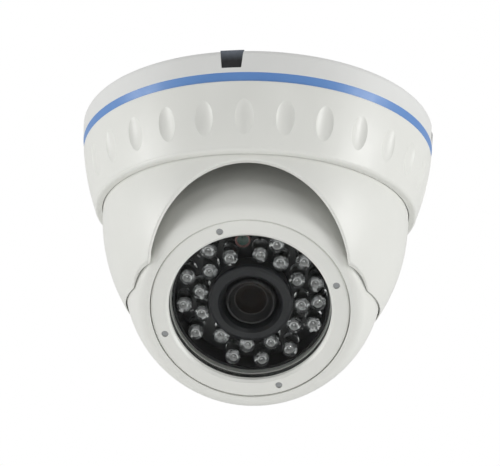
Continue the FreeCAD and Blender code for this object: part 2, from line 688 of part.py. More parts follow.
def screw(label, circle, head, shank, head_low, head_high, tip, count, phase):
    """Equal screws round the lens axis.  The head spans head_low..head_high, and the
    shank runs from the head to tip."""
    body = new_body(label)
    steps = [
        (circle, tip),
        ("%s + %s" % (circle, shank), tip),
        ("%s + %s" % (circle, shank), head_low),
        ("%s + %s" % (circle, head), head_low),
        ("%s + %s" % (circle, head), head_high),
        (circle, head_high),
    ]
    one = revolve(body, label + "_one", steps, turn=phase, offset=circle)
    around(body, label + "_all", [one], count)
    return in_ball(body)


def make_bezel():
    body = new_body("bezel_ring")
    revolve(body, "bezel_turning", [
        ("bezel_opening", "glass_w + glass_thickness + 0.05"),
        ("glass_radius + 0.2", "glass_w + glass_thickness + 0.05"),
        ("glass_radius + 0.2", "seat_w + 0.02"),
        ("bezel_radius", "seat_w + 0.02"),
        ("bezel_radius", "bezel_w - bezel_edge_round", "bezel_edge_round"),
        ("bezel_radius - bezel_edge_round", "bezel_w"),
        ("bezel_opening + bezel_bevel", "bezel_w"),
        ("bezel_opening", "bezel_w - bezel_bevel"),
    ])
    recess = new_sketch(body, "screw_recess_outline", "XY_Plane", lift="bezel_w")
    x = "bezel_screw_circle * cos(bezel_screw_phase)"
    y = "bezel_screw_circle * sin(bezel_screw_phase)"
    circle_at(recess, "bezel_screw_head + 0.05", x, y)
    recess_cut = pocket(body, "screw_recess", recess, "1.3")
    around(body, "screw_recesses", [recess_cut], "bezel_screw_count")
    hole = new_sketch(body, "screw_way_outline", "XY_Plane", lift="bezel_w")
    circle_at(hole, "bezel_screw_shank + 0.05", x, y)
    hole_cut = pocket(body, "screw_way", hole, "bezel_w - seat_w")
    around(body, "screw_ways", [hole_cut], "bezel_screw_count")
    in_ball(body)
    screw("bezel_screws", "bezel_screw_circle", "bezel_screw_head", "bezel_screw_shank - 0.02",
          "bezel_w - 1.3", "bezel_w - bezel_screw_recess", "flange_w + 0.3",
          "bezel_screw_count", "bezel_screw_phase")
    in_ball(turned("window_glass", [
        ("0", "glass_w"),
        ("glass_radius", "glass_w"),
        ("glass_radius", "glass_w + glass_thickness"),
        ("0", "glass_w + glass_thickness"),
    ]))
    in_ball(turned("window_gasket", ring_steps(
        "window_bore + 0.4", "glass_radius", "gasket_w", "glass_w")))


# ---------------------------------------------------------------- lamp board


def led_steps(circle):
    """One clear lamp: a round rim at the board, a straight body and a domed tip."""
    top = "board_w + led_length"
    return [
        (circle, "board_w"),
        ("%s + led_rim_radius" % circle, "board_w"),
        ("%s + led_rim_radius" % circle, "board_w + led_rim"),
        ("%s + led_radius" % circle, "board_w + led_rim"),
        ("%s + led_radius" % circle, top + " - led_radius", "led_radius"),
        (circle, top),
    ]


def make_lamps():
    for ring, angles in LED_ANGLES.items():
        circle = ring + "_led_circle"
        body = new_body(ring + "_leds")
        for place in range(1, len(angles) + 1):
            revolve(body, "%s_led_%d" % (ring, place), led_steps(circle),
                    turn="%s_led_angle_%d" % (ring, place), offset=circle)
        in_ball(body)
    in_ball(turned("light_sensor", [
        ("sensor_circle", "board_w"),
        ("sensor_circle + sensor_radius", "board_w"),
        ("sensor_circle + sensor_radius", "board_w + sensor_height"),
        ("sensor_circle", "board_w + sensor_height"),
    ], turn="sensor_phase", offset="sensor_circle"))


def make_lamp_board():
    def draw(sketch):
        circle_at(sketch, "board_radius")
        circle_at(sketch, "board_hole")
    in_ball(plate("lamp_board", draw, "board_w - board_thickness", "board_w"))
    floor = "board_w - board_thickness - 0.02"
    baffle = new_body("light_baffle")
    revolve(baffle, "baffle_turning", [
        ("board_radius - 3", floor),
        ("board_radius - 3", "baffle_low_w"),
        ("baffle_flange", "baffle_low_w"),
        ("baffle_flange", floor),
        ("baffle_outer", floor),
        ("baffle_outer", "baffle_high_w"),
        ("baffle_outer - baffle_wall", "baffle_high_w"),
        ("baffle_outer - baffle_wall", floor),
    ])
    sketch = new_sketch(baffle, "fixing_outline", "XY_Plane",
                        lift="board_w - board_thickness")
    circle_at(sketch, "screw_radius + 0.05", "post_circle * cos(post_phase)",
              "post_circle * sin(post_phase)")
    cut = pocket(baffle, "fixing_hole", sketch, "3")
    around(baffle, "fixing_holes", [cut], "post_count")
    in_ball(baffle)
    screw("baffle_screws", "post_circle", "head_r_small", "screw_radius - 0.02",
          "baffle_low_w - 0.02", "baffle_low_w - head_height", "flange_w - 4",
          "post_count", "post_phase")


# ---------------------------------------------------------------- lens and sensor


def make_lens():
    in_ball(turned("lens_hood", [
        ("hood_throat", "board_w + 0.02"),
        ("hood_base_radius", "board_w + 0.02"),
        ("hood_radius", "hood_w - 1.2"),
        ("hood_radius - 0.3", "hood_w - 0.3"),
        ("hood_radius - 1.1", "hood_w"),
        ("hood_bore + 0.9", "hood_w"),
        ("hood_bore", "hood_w - 0.8"),
        ("hood_throat", "hood_w - 4.2"),
    ]))
    in_ball(turned("lens_barrel", [
        ("rear_element_radius", "barrel_low_w"),
        ("barrel_radius", "barrel_low_w"),
        ("barrel_radius", "head_low_w"),
        ("head_radius", "head_low_w"),
        ("head_radius", "head_w - 0.4"),
        ("head_radius - 0.4", "head_w"),
        ("head_mouth", "head_w"),
        ("element_radius + 0.3", "element_w + element_edge"),
        ("element_radius + 0.02", "element_w + element_edge"),
        ("element_radius + 0.02", "element_w"),
        ("stop_radius", "element_w - 0.1"),
        ("stop_radius", "rear_element_w + 2.2"),
        ("rear_element_radius", "rear_element_w + 2.2"),
    ]))
    bulge = "(element_bulge_radius - %s)" % on_sphere("element_bulge_radius", "element_radius")
    in_ball(turned("lens_front_element", [
        ("0", "element_w"),
        ("element_radius", "element_w"),
        ("element_radius", "element_w + element_edge", "element_bulge_radius"),
        ("0", "element_w + element_edge + " + bulge),
    ]))
    in_ball(turned("lens_rear_element", [
        ("0", "rear_element_w"),
        ("rear_element_radius - 0.02", "rear_element_w"),
        ("rear_element_radius - 0.02", "rear_element_w + 2"),
        ("0", "rear_element_w + 2"),
    ]))
    holder = new_body("lens_holder")
    foot = new_sketch(holder, "holder_foot_outline", "XY_Plane", lift="holder_low_w")
    rectangle_at(foot, "holder_size", "holder_size")
    rectangle_at(foot, "holder_cavity", "holder_cavity")
    pad(holder, "holder_foot", foot, "holder_flange")
    revolve(holder, "holder_tube", ring_steps(
        "barrel_radius + 0.03", "holder_radius + 1.2", "holder_low_w + holder_flange - 0.01",
        "holder_w"))
    in_ball(holder)


def make_circuit():
    corner = "standoff_pitch / 2"

    def draw(sketch):
        rectangle_at(sketch, "circuit_size", "circuit_size")
        for x in ("0 - " + corner, corner):
            for y in ("0 - " + corner, corner):
                circle_at(sketch, "screw_radius + 0.05", x, y)
    low = "circuit_w - circuit_thickness"
    in_ball(plate("sensor_board", draw, low, "circuit_w"))

    def square(width):
        return lambda sketch: rectangle_at(sketch, width, width)
    in_ball(plate("image_sensor", square("chip_size"), "circuit_w", "circuit_w + chip_height"))
    in_ball(plate("infrared_filter", square("filter_size"), "circuit_w + chip_height + 0.1",
                  "circuit_w + chip_height + 0.1 + filter_thickness"))

    radius = "(standoff_pitch / sqrt(2))"
    top = "baffle_low_w"
    body = new_body("standoffs")
    post = revolve(body, "standoff", ring_steps(
        radius + " + screw_radius", radius + " + standoff_radius", "circuit_w", top),
        turn="45", offset=radius)
    around(body, "standoff_ring", [post], "4")
    in_ball(body)
    screw("board_screws", radius, "head_r_small", "screw_radius - 0.02",
          low + " - 0.02", low + " - head_height", "circuit_w + 4", "4", "45")

    def sockets(sketch):
        for x in ("0 - connector_spacing / 2", "connector_spacing / 2"):
            rectangle_at(sketch, "connector_length", "connector_width", x, "0 - 8")
    in_ball(plate("board_connectors", sockets, low + " - connector_height", low))


make_base()
make_base_trim()
make_cover()
make_turret()
make_pivots()
make_yoke()
make_front_shell()
make_rear_shell()
make_shell_pins()
make_swivel()
make_bezel()
make_lamps()
make_lamp_board()
make_lens()
make_circuit()
doc.recompute()

# ---------------------------------------------------------------- checks and files
for obj in doc.Objects:
    if "Invalid" in obj.State or "Error" in obj.State:
        raise RuntimeError("%s failed: %s" % (obj.Label, obj.State))
for obj in SUB_PARTS:
    if obj.Shape.isNull() or not obj.Shape.isValid() or not obj.Shape.Solids:
        raise RuntimeError("%s has no valid solid" % obj.Label)

os.makedirs("parts", exist_ok=True)
for obj in SUB_PARTS:
    obj.Shape.exportStep("parts/%s.step" % obj.Label)
    box = obj.Shape.BoundBox
    print("%-20s solids %2d  volume %9.1f  z %7.2f .. %7.2f" % (
        obj.Label, len(obj.Shape.Solids), obj.Shape.Volume, box.ZMin, box.ZMax))
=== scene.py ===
"""Dome camera with a turning eyeball: materials, fine detail, light and camera round its CAD frame."""

import json
import math
import random

import bmesh
import bpy
from mathutils import Matrix, Vector


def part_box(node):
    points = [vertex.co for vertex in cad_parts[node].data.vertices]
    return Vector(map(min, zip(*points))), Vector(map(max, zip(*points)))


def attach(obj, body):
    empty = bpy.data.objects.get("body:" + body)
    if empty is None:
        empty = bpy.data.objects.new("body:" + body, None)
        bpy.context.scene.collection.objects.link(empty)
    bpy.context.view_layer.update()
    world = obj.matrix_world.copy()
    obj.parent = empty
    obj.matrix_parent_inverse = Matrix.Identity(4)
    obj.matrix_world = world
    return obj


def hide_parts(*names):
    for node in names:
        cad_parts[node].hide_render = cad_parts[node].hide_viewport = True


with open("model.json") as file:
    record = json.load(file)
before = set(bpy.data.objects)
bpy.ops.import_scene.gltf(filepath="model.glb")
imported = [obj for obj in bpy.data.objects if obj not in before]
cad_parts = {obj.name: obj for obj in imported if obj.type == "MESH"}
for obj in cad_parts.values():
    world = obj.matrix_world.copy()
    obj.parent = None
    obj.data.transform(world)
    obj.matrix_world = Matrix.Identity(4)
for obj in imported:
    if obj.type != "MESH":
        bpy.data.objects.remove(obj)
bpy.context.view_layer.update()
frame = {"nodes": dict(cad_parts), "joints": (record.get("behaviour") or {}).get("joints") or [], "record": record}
NODES = frame["nodes"]
SLOT_OF = {part["node"]: part["material_slot"] for part in frame["record"]["subparts"]}
RANDOM = random.Random(4207)
MM = 0.001
SAME_HEIGHT = 0.02
SAME_SPOT = 1.0

# ---------------------------------------------------------------- the ball's own frame

ROLL_JOINT = next(joint for joint in frame["joints"] if joint["name"] == "lens_roll")
BALL = Vector(ROLL_JOINT["pos_m"])
LENS_AXIS = Vector(ROLL_JOINT["axis"]).normalized()
SIDE = Vector((1, 0, 0))
UPWARD = LENS_AXIS.cross(SIDE).normalized()
BALL_FRAME = Matrix.Translation(BALL) @ Matrix((SIDE, UPWARD, LENS_AXIS)).transposed().to_4x4()


def board_points(node):
    """A node's points in the lamp board's own frame, in mm."""
    inward = BALL_FRAME.inverted()
    return [inward @ v.co / MM for v in NODES[node].data.vertices]


def along_lens(node):
    """Lowest and highest of a node's points along the lens axis, in mm from the ball's centre."""
    spans = [(v.co - BALL).dot(LENS_AXIS) / MM for v in NODES[node].data.vertices]
    return min(spans), max(spans)


def around_lens(node):
    """Smallest and largest distance of a node's points from the lens axis, in mm."""
    reach = []
    for v in NODES[node].data.vertices:
        arm = v.co - BALL
        reach.append((arm - LENS_AXIS * arm.dot(LENS_AXIS)).length / MM)
    return min(reach), max(reach)


def stands_at(node):
    """Where each solid of a node stands on the lamp board, (x, y) in mm, from its highest point."""
    points = board_points(node)
    top = max(point.z for point in points)
    found = []
    for point in points:
        apart = all((point.xy - other).length > SAME_SPOT for other in found)
        if point.z > top - SAME_HEIGHT and apart:
            found.append(point.xy)
    return found


def middle_of(node):
    """The middle of a round node on the lamp board and its radius, in mm."""
    points = board_points(node)
    low = Vector((min(p.x for p in points), min(p.y for p in points)))
    high = Vector((max(p.x for p in points), max(p.y for p in points)))
    return (low + high) / 2, (high.x - low.x) / 2


BOARD_W = along_lens("lamp_board")[1]
LED_HEIGHT = along_lens("outer_leds")[1] - BOARD_W
LED_R = (around_lens("outer_leds")[1] - around_lens("outer_leds")[0]) / 2
SENSOR_HEIGHT = along_lens("light_sensor")[1] - BOARD_W
SENSOR_SPOT, SENSOR_R = middle_of("light_sensor")

# ---------------------------------------------------------------- materials

# Heights where the notch plugs' painted light (bluish grey, at the top) fades into painted shade (black, 2.8 mm
# lower).
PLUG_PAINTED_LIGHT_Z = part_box("notch_plugs")[1][2] - 0.4 * MM
PLUG_PAINTED_SHADE_Z = PLUG_PAINTED_LIGHT_Z - 2.8 * MM
UNEVEN_GLOSS = 0.06
BRUSH_SCALE = 400.0


class Tree:
    """A small helper that adds and links shader nodes."""

    def __init__(self, name):
        self.material = bpy.data.materials.new(name)
        self.material.use_nodes = True
        self.tree = self.material.node_tree
        self.tree.nodes.clear()
        self.out = self.add("ShaderNodeOutputMaterial")
        self.place = self.add("ShaderNodeTexCoord").outputs["Object"]

    def add(self, kind, **inputs):
        """Adds a node; an input's name has _ where the socket's name has a space."""
        node = self.tree.nodes.new(kind)
        for key, value in inputs.items():
            self.put(node.inputs[key.replace("_", " ")], value)
        return node

    def put(self, socket, value):
        """Links a socket to value, or sets it."""
        if isinstance(value, bpy.types.NodeSocket):
            self.tree.links.new(value, socket)
        else:
            socket.default_value = value

    def noise(self, size, detail=3.0, roughness=0.5):
        """Noise between about 0.25 and 0.75 whose blobs are about size metres across."""
        node = self.add("ShaderNodeTexNoise", Vector=self.place, Scale=1 / size, Detail=detail,
                        Roughness=roughness)
        return node.outputs["Fac"]

    def ramp(self, value, low, high, start=0.3, end=0.7):
        """Goes from low to high as value goes from start to end, and stays there outside."""
        node = self.add("ShaderNodeMapRange")
        node.clamp = True
        for socket, item in zip(node.inputs[:5], (value, start, end, low, high)):
            self.put(socket, item)
        return node.outputs[0]

    def blend(self, share, first, second):
        """A colour between first and second."""
        node = self.tree.nodes.new("ShaderNodeMix")
        node.data_type = "RGBA"
        self.put(node.inputs["Factor"], share)
        self.put(node.inputs[6], first)
        self.put(node.inputs[7], second)
        return node.outputs[2]

    def bump(self, heights):
        """A chain of bumps from (height, depth in metres, strength)."""
        normal = None
        for height, depth, strength in heights:
            node = self.add("ShaderNodeBump", Strength=strength, Distance=depth, Height=height)
            if normal is not None:
                self.put(node.inputs["Normal"], normal)
            normal = node.outputs["Normal"]
        return normal

    def finish(self, shader):
        """Sends a shader's output to the surface and gives the material back."""
        self.put(self.out.inputs["Surface"], shader.outputs[0])
        return self.material


def rgba(colour, share=1.0):
    """A colour times share, with full alpha."""
    return tuple(c * share for c in colour[:3]) + (1.0,)


def solid(name, colour, rough, patch=0.018, spread=0.03, grain=0.0005, depth=0.00002,
          metallic=0.0, coat=0.0, tint=None, speck=0.0, brushed=None):
    """A painted, moulded or metal surface with patches of colour, a fine grain and uneven gloss."""
    t = Tree(name)
    wide = t.noise(patch, 4.0, 0.6)
    fine = t.noise(grain, 2.0, 0.5)
    middle = t.noise(patch * 0.22, 5.0, 0.65)
    base = t.blend(t.ramp(wide, 0.0, 1.0), rgba(colour, 1 - spread),
                   rgba(tint or colour, 1 + spread))
    if speck:
        base = t.blend(t.ramp(middle, 0.0, speck, 0.58, 0.78), base, rgba(colour, 0.55))
    shine = t.ramp(middle, rough - UNEVEN_GLOSS, rough + UNEVEN_GLOSS, 0.3, 0.72)
    heights = [(fine, depth, 0.6)]
    if brushed:
        stretch = t.add("ShaderNodeMapping", Vector=t.place)
        stretch.inputs["Scale"].default_value = brushed
        lines = t.add("ShaderNodeTexNoise", Vector=stretch.outputs[0], Scale=BRUSH_SCALE, Detail=3.0)
        heights.append((lines.outputs["Fac"], depth, 0.5))
    shader = t.add("ShaderNodeBsdfPrincipled", Base_Color=base, Roughness=shine, Metallic=metallic,
                   Normal=t.bump(heights))
    shader.inputs["Specular IOR Level"].default_value = 0.5
    if coat:
        shader.inputs["Coat Weight"].default_value = coat
        shader.inputs["Coat Roughness"].default_value = 0.12
    return t.finish(shader)


def painted_casting(name, colour):
    """Satin powder coat: faint orange peel, soft patches, a trace of dust and small rubbed marks."""
    t = Tree(name)
    wide = t.noise(0.03, 4.0, 0.6)
    peel = t.noise(0.0011, 2.0, 0.45)
    fine = t.noise(0.00028, 2.0, 0.5)
    marks = t.noise(0.006, 8.0, 0.72)
    base = t.blend(t.ramp(wide, 0.0, 1.0), rgba(colour, 0.985), rgba(colour, 1.015))
    base = t.blend(t.ramp(marks, 0.0, 0.3, 0.62, 0.76), base, rgba(colour, 0.9))
    shine = t.ramp(marks, 0.30, 0.44, 0.3, 0.7)
    normal = t.bump([(peel, 0.00003, 0.35), (fine, 0.000008, 0.3)])
    shader = t.add("ShaderNodeBsdfPrincipled", Base_Color=base, Roughness=shine, Normal=normal)
    shader.inputs["Specular IOR Level"].default_value = 0.45
    return t.finish(shader)


def plug_rubber_painted_shade(name):
    """Black rubber with painted light and shade: a bluish grey painted light at its upper end, fading to black
    painted shade lower down, as in a recess lit from above.
    """
    t = Tree(name)
    height = t.add("ShaderNodeSeparateXYZ", Vector=t.place).outputs["Z"]
    cloud = t.ramp(t.noise(0.003, 4.0, 0.6), -0.12, 0.12, 0.3, 0.7)
    share = t.add("ShaderNodeMath")
    share.operation = "ADD"
    share.use_clamp = True
    # The mix share is painted light and shade: bluish grey high up, black lower down, broken up by a noise cloud.
    t.put(share.inputs[0], t.ramp(height, 0.0, 1.0, PLUG_PAINTED_SHADE_Z, PLUG_PAINTED_LIGHT_Z))
    t.put(share.inputs[1], cloud)
    base = t.blend(share.outputs[0], rgba((0.010, 0.010, 0.011)), rgba((0.13, 0.148, 0.18)))
    shine = t.ramp(t.noise(0.002, 4.0, 0.6), 0.5, 0.66, 0.3, 0.7)
    shader = t.add("ShaderNodeBsdfPrincipled", Base_Color=base, Roughness=shine,
                   Normal=t.bump([(t.noise(0.0004, 2.0), 0.00002, 0.5)]))
    return t.finish(shader)


def pane(name, colour, ior, rough=0.02, cloud=0.05):
    """Clear flat glass that lets light straight through and mirrors by its angle, a little dusty."""
    t = Tree(name)
    dust = t.ramp(t.noise(0.009, 6.0, 0.7), rough, rough + cloud, 0.45, 0.75)
    tone = t.blend(t.ramp(t.noise(0.02), 0.0, 1.0), rgba(colour), rgba(colour, 0.985))
    through = t.add("ShaderNodeBsdfTransparent", Color=tone)
    mirror = t.add("ShaderNodeBsdfGlossy", Roughness=dust)
    share = t.add("ShaderNodeFresnel", IOR=ior)
    mixed = t.add("ShaderNodeMixShader")
    t.put(mixed.inputs[0], share.outputs[0])
    t.put(mixed.inputs[1], through.outputs[0])
    t.put(mixed.inputs[2], mirror.outputs[0])
    return t.finish(mixed)


def resin(name, colour):
    """Clear moulded epoxy with faint flow lines and a few hazy spots."""
    t = Tree(name)
    haze = t.ramp(t.noise(0.0016, 4.0, 0.6), 0.0, 0.05, 0.5, 0.75)
    tone = t.blend(t.ramp(t.noise(0.004), 0.0, 1.0), rgba(colour), rgba(colour, 0.97))
    flow = t.bump([(t.noise(0.0012, 2.0), 0.00004, 0.35)])
    shader = t.add("ShaderNodeBsdfPrincipled", Base_Color=tone, Roughness=haze, Normal=flow)
    shader.inputs["Transmission Weight"].default_value = 1.0
    shader.inputs["IOR"].default_value = 1.5
    return t.finish(shader)


PAINTS = {
    "white_casting": painted_casting("white_powder_coat", (0.795, 0.80, 0.762)),
    "blue_trim": solid("blue_trim_moulding", (0.115, 0.262, 0.60), 0.36, spread=0.035,
                       tint=(0.13, 0.28, 0.60)),
    "black_rubber": solid("black_rubber_moulding", (0.028, 0.028, 0.028), 0.62, spread=0.12,
                          depth=0.00003),
    "nylon": solid("natural_nylon", (0.76, 0.755, 0.70), 0.5, spread=0.03),
    "steel": solid("zinc_plated_steel", (0.56, 0.57, 0.58), 0.34, metallic=1.0, spread=0.07,
                   grain=0.0003, brushed=(1.0, 14.0, 1.0), speck=0.3),
    "window_glass": pane("window_glass", (0.985, 0.992, 0.99), 1.15),
    "clear_epoxy": resin("clear_led_resin", (0.98, 0.985, 0.985)),
    "lens_glass": pane("coated_lens_glass", (0.50, 0.37, 0.31), 1.22, rough=0.01, cloud=0.01),
    "sensor_head": solid("sensor_head_rim", (0.13, 0.05, 0.045), 0.22, coat=0.6, spread=0.06),
    "black_board": solid("black_solder_mask", (0.018, 0.018, 0.019), 0.4, spread=0.2, patch=0.006,
                         coat=0.3),
    "green_board": solid("green_solder_mask", (0.02, 0.15, 0.07), 0.38, spread=0.15, patch=0.004,
                         coat=0.4),
    "black_plastic": solid("black_moulding", (0.022, 0.022, 0.023), 0.5, spread=0.12),
    "black_anodised": solid("black_anodised_metal", (0.045, 0.044, 0.044), 0.33, metallic=0.6,
                            spread=0.1, brushed=(1.0, 10.0, 1.0)),
    "sensor_chip": solid("sensor_die", (0.03, 0.035, 0.06), 0.12, metallic=0.4, coat=0.8,
                         tint=(0.06, 0.03, 0.07)),
    "brass": solid("turned_brass", (0.72, 0.52, 0.22), 0.3, metallic=1.0, brushed=(1.0, 12.0, 1.0)),
}
COOL_WHITE = painted_casting("cool_white_powder_coat", (0.785, 0.79, 0.775))
HOOD_RUBBER = solid("lens_hood_rubber", (0.014, 0.015, 0.018), 0.34, spread=0.14, grain=0.0003)
LEAD_FRAME = solid("silvered_lead_frame", (0.52, 0.525, 0.53), 0.16, metallic=0.95, spread=0.8,
                   patch=0.0009, grain=0.0006, depth=0.0004)
EMITTER = solid("emitter_chip", (0.10, 0.10, 0.10), 0.3, spread=0.1, patch=0.0008)
GASKET_GREY = solid("window_gasket_rubber", (0.17, 0.17, 0.165), 0.55, spread=0.12, patch=0.003)
DARK_STEEL = solid("dull_screw_steel", (0.36, 0.37, 0.375), 0.42, metallic=1.0, spread=0.1,
                   patch=0.002, grain=0.0003)
BOND_SILVER = solid("bond_silver", (0.98, 0.98, 0.98), 0.12, metallic=0.6, spread=0.05, patch=0.0008)
SENSOR_DISH = solid("sensor_green_dish", (0.022, 0.060, 0.045), 0.2, coat=0.9, spread=0.16,
                    patch=0.001, tint=(0.03, 0.075, 0.052))
CHIP_BODY = solid("resistor_body", (0.035, 0.035, 0.038), 0.4, spread=0.1, patch=0.002)
CHIP_END = solid("tinned_end", (0.30, 0.30, 0.30), 0.4, metallic=1.0, spread=0.1, patch=0.001)

OWN_PAINT = {
    "lens_hood": HOOD_RUBBER,
    "base_plate": COOL_WHITE,
    "bezel_screws": DARK_STEEL,
    "window_gasket": GASKET_GREY,
    # The notch plugs get painted light at the top and painted shade lower down.
    "notch_plugs": plug_rubber_painted_shade("notch_plug_painted_shade"),
}
for node_name, node_object in NODES.items():
    paint = OWN_PAINT.get(node_name, PAINTS[SLOT_OF[node_name]])
    node_object.data.materials.clear()
    node_object.data.materials.append(paint)

# ---------------------------------------------------------------- shape helpers


def finish_piece(name, bm, paints, sharp=30):
    """Makes an object from a bmesh, smooth up to sharp degrees, riding on the ball."""
    bmesh.ops.recalc_face_normals(bm, faces=bm.faces)
    mesh = bpy.data.meshes.new(name)
    bm.to_mesh(mesh)
    bm.free()
    for paint in paints:
        mesh.materials.append(paint)
    for face in mesh.polygons:
        face.use_smooth = True
    mesh.set_sharp_from_angle(angle=math.radians(sharp))
    piece = bpy.data.objects.new(name, mesh)
    bpy.context.scene.collection.objects.link(piece)
    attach(piece, "ball")
    return piece


def lathe(bm, profile, place, steps=32, paint=0):
    """Turns a profile of (radius, height) in mm about place's Z. Radius 0 closes to a point."""
    rows = []
    for radius, height in profile:
        if radius <= 0:
            rows.append([bm.verts.new(place @ Vector((0, 0, height * MM)))])
            continue
        row = []
        for k in range(steps):
            turn = math.tau * k / steps
            spot = Vector((radius * math.cos(turn), radius * math.sin(turn), height)) * MM
            row.append(bm.verts.new(place @ spot))
        rows.append(row)
    for low, high in zip(rows, rows[1:]):
        for k in range(steps):
            after = (k + 1) % steps
            if len(low) == 1:
                corners = (low[0], high[k], high[after])
            elif len(high) == 1:
                corners = (low[k], low[after], high[0])
            else:
                corners = (low[k], low[after], high[after], high[k])
            if len(set(corners)) > 2:
                bm.faces.new(corners).material_index = paint


def block(bm, place, size, paint=0, bevel=0.05):
    """A box of size mm, its base at place's origin, with softened edges."""
    made = bmesh.ops.create_cube(bm, size=1.0)
    for v in made["verts"]:
        v.co = place @ (Vector((v.co.x * size[0], v.co.y * size[1], (v.co.z + 0.5) * size[2])) * MM)
    faces = {f for v in made["verts"] for f in v.link_faces}
    for f in faces:
        f.material_index = paint
    edges = {e for f in faces for e in f.edges}
    cut = bmesh.ops.bevel(bm, geom=list(edges), offset=bevel * MM, segments=2, affect="EDGES",
                          profile=0.6)
    for f in cut["faces"]:
        f.material_index = paint


def on_board(spot, spin=0.0):
    """A place on the lamp board at spot, (x, y) in mm, its X turned by spin degrees."""
    move = Matrix.Translation(Vector((spot[0], spot[1], BOARD_W)) * MM)
    return BALL_FRAME @ move @ Matrix.Rotation(math.radians(spin), 4, "Z")


def inside(place, x, y, height):
    """The place that is x, y and height in mm from place, in place's own directions."""
    return place @ Matrix.Translation(Vector((x, y, height)) * MM)


# ---------------------------------------------------------------- lamps

DOME_R = LED_R - 0.02
WALL_R = DOME_R - 0.1
WAIST_R = DOME_R - 0.12
DOME_TOP = LED_HEIGHT - 0.12
DOME_STEPS = 12
POST_FOOT = 0.3
POST_HEIGHT = LED_HEIGHT - 6.4
CUP_ASIDE = -0.2

# (radius, height) in mm, heights from the lamp's top
DISH_PROFILE = [(0, -6.2), (1.2, -6.2), (1.75, -5.6), (1.85, -4.4), (2.05, -3.1), (1.95, -2.85),
                (1.65, -3.4), (1.35, -2.8), (1.15, -3.3), (0.95, -3.4), (0, -3.45)]
CUP_PROFILE = [(0, -3.44), (0.6, -3.44), (0.75, -2.9), (0.85, -2.5), (0.68, -2.4), (0.42, -2.95),
               (0, -3.0)]

WELDS = 5
WELD_RING = (0.95, 1.75)
WELD_LENGTH = (0.25, 0.6)
WELD_WIDTH = (0.12, 0.3)
WELD_HEIGHT = 0.42
WIRE_STEPS = 8
WIRE_RISE = 0.6
WIRE_SECTION = ((0.05, 0), (0, 0.05), (-0.05, 0), (0, -0.05))


def dome_profile():
    """Outline of one lamp body from the foot's centre, up its wall and over its round top."""
    spring = LED_HEIGHT - DOME_R * 1.02
    rows = [(0, 0.03), (LED_R * 0.9, 0.03), (LED_R, 0.15), (LED_R, 0.95), (WAIST_R, 1.08),
            (WAIST_R, 1.6), (WALL_R, spring * 0.6), (WALL_R, spring)]
    for k in range(1, DOME_STEPS):
        turn = math.pi / 2 * k / DOME_STEPS
        rows.append((WALL_R * math.cos(turn), spring + (DOME_TOP - spring) * math.sin(turn)))
    rows.append((0, DOME_TOP))
    return rows


def lead_frame(bm, place):
    """The silvered frame inside a lamp: two posts under a wide crimped dish."""
    block(bm, inside(place, -0.45, 0, POST_FOOT), (1.4, 0.9, POST_HEIGHT), bevel=0.12)
    block(bm, inside(place, 1.2, 0.15, POST_FOOT), (0.4, 0.8, POST_HEIGHT), bevel=0.1)
    lathe(bm, DISH_PROFILE, inside(place, 0, 0, LED_HEIGHT), 24)


def chip_and_wire(bm, place):
    """The bright cup, the emitter in it and its bond wire."""
    lathe(bm, CUP_PROFILE, inside(place, CUP_ASIDE, 0, LED_HEIGHT), 20)
    block(bm, inside(place, CUP_ASIDE, 0, LED_HEIGHT - 3.06), (0.6, 0.6, 0.2), paint=1, bevel=0.03)
    block(bm, inside(place, CUP_ASIDE + 0.05, 0.05, LED_HEIGHT - 2.9), (0.3, 0.25, 0.12), bevel=0.03)
    for _ in range(WELDS):
        turn = Matrix.Rotation(RANDOM.uniform(0, math.tau), 4, "Z")
        weld = inside(place @ turn, RANDOM.uniform(*WELD_RING), 0, LED_HEIGHT - 3.25)
        weld = weld @ Matrix.Rotation(RANDOM.uniform(0, 3), 4, "Z")
        length = RANDOM.uniform(*WELD_LENGTH)
        block(bm, weld, (length, RANDOM.uniform(*WELD_WIDTH), WELD_HEIGHT))
    start = Vector((CUP_ASIDE, 0, LED_HEIGHT - 2.84))
    end = Vector((1.35, 0.1, LED_HEIGHT - 3.0))
    last = None
    for k in range(WIRE_STEPS + 1):
        share = k / WIRE_STEPS
        spot = start.lerp(end, share) + Vector((0, 0, WIRE_RISE * math.sin(math.pi * share)))
        ring = [bm.verts.new(place @ ((spot + Vector((0, dy, dz))) * MM)) for dy, dz in WIRE_SECTION]
        if last:
            for i in range(4):
                bm.faces.new((last[i], last[(i + 1) % 4], ring[(i + 1) % 4], ring[i]))
        else:
            bm.faces.new(ring)
        last = ring
    bm.faces.new(tuple(reversed(last)))


def lamp_ring(kind, lean):
    """One circle of lamps as three pieces: clear bodies, silvered frames, and cups with wires.

    Each lamp leans by up to lean degrees, away from the lens axis or towards it, and is spun at random.
    """
    bodies, frames, chips = bmesh.new(), bmesh.new(), bmesh.new()
    for spot in stands_at(kind + "_leds"):
        away = Vector((spot.x, spot.y, 0)).normalized()
        hinge = Vector((-away.y, away.x, 0))
        tilt = Matrix.Rotation(math.radians(RANDOM.uniform(0.0, lean)), 4, hinge)
        tilt = tilt @ Matrix.Rotation(math.radians(RANDOM.uniform(-1.0, 1.0)), 4, away)
        place = on_board(spot) @ tilt @ Matrix.Rotation(math.radians(RANDOM.uniform(0, 360)), 4, "Z")
        lathe(bodies, dome_profile(), place)
        lead_frame(frames, place)
        chip_and_wire(chips, place)
    shells = finish_piece(kind + "_lamp_bodies", bodies, [PAINTS["clear_epoxy"]], 60)
    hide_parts(kind + "_leds")
    finish_piece(kind + "_lamp_frames", frames, [LEAD_FRAME])
    finish_piece(kind + "_lamp_chips", chips, [BOND_SILVER, EMITTER])


lamp_ring("outer", -1.0)
lamp_ring("inner", 1.0)

# ---------------------------------------------------------------- light sensor

DISH_EDGE_R = SENSOR_R - 0.7
DISH_STEP = 0.22
DISH_HIGH = SENSOR_HEIGHT - 0.28
DISH_LOW = SENSOR_HEIGHT - 0.36


